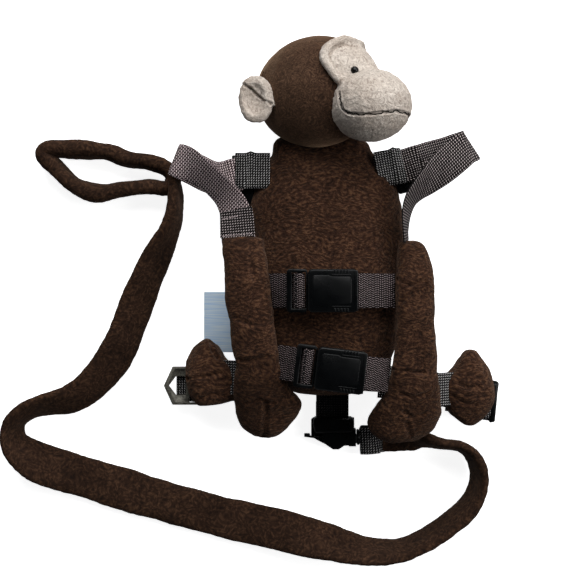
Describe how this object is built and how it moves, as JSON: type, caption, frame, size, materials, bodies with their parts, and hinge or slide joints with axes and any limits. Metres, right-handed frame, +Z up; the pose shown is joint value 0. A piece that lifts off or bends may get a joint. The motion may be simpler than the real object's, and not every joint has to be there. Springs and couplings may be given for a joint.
{
  "type": "toddler harness backpack",
  "caption": "Plush animal harness for a toddler: stuffed body, chest buckles, sleeve-covered shoulder straps, foot-covered waist straps and a plush lead on a snap hook.",
  "frame": {"origin": "under the middle of the harness without its lead, on the surface it lies on", "axes": "+Z up from the floor through the belly, +Y from the seat to the head, +X towards the side the face is turned to (the toy's left)"},
  "size_m": [0.3806, 0.3957, 0.1029],
  "materials": {
    "brown_plush": "short soft pile, brushed in patches",
    "beige_pile": "curly short pile",
    "black_bead": "polished",
    "black_plastic": "moulded, satin",
    "grey_brown_webbing": "woven webbing, light threads on dark brown",
    "black_webbing": "woven webbing",
    "grey_metal": "cast zinc, dull grey",
    "pale_satin": "satin ribbon"
  },
  "bodies": {
    "harness": {"torso": "brown_plush", "head": "brown_plush", "muzzle": "beige_pile", "face_mask": "beige_pile", "eye_right": "black_bead", "eye_left": "black_bead", "ear_right": "beige_pile", "ear_left": "beige_pile", "arm_right": "brown_plush", "arm_left": "brown_plush", "hand_right": "brown_plush", "hand_left": "brown_plush", "foot_right": "brown_plush", "foot_left": "brown_plush", "buckle_male_upper": "black_plastic", "buckle_female_upper": "black_plastic", "buckle_male_lower": "black_plastic", "buckle_female_lower": "black_plastic", "chest_webbing_upper_right": "grey_brown_webbing", "chest_webbing_upper_left": "grey_brown_webbing", "chest_webbing_lower_right": "grey_brown_webbing", "chest_webbing_lower_left": "grey_brown_webbing", "shoulder_lock_right": "black_plastic", "shoulder_lock_left": "black_plastic", "shoulder_webbing_right": "black_webbing", "shoulder_webbing_left": "black_webbing", "shoulder_strap_right": "grey_brown_webbing", "shoulder_strap_left": "grey_brown_webbing", "side_ring": "grey_metal", "side_lock": "black_plastic", "waist_webbing_right": "black_webbing", "waist_webbing_left": "black_webbing", "side_webbing_right": "grey_brown_webbing", "side_webbing_left": "grey_brown_webbing", "hook_body": "black_plastic", "tether_webbing": "black_webbing", "swivel_eye": "black_plastic", "tail_tab": "black_webbing", "tail_lead": "brown_plush", "hand_loop": "brown_plush", "care_label": "pale_satin"},
    "lever": {"hook_lever": "black_plastic"}
  },
  "joints": [
    {"name": "hook_lever_pivot", "type": "hinge", "parent": "harness", "child": "lever", "pos_m": [0.00591, -0.1475, 0.006], "axis": [0, 0, 1], "range_deg": [0, 16], "stiffness_Nm_per_rad": 0.05}
  ]
}
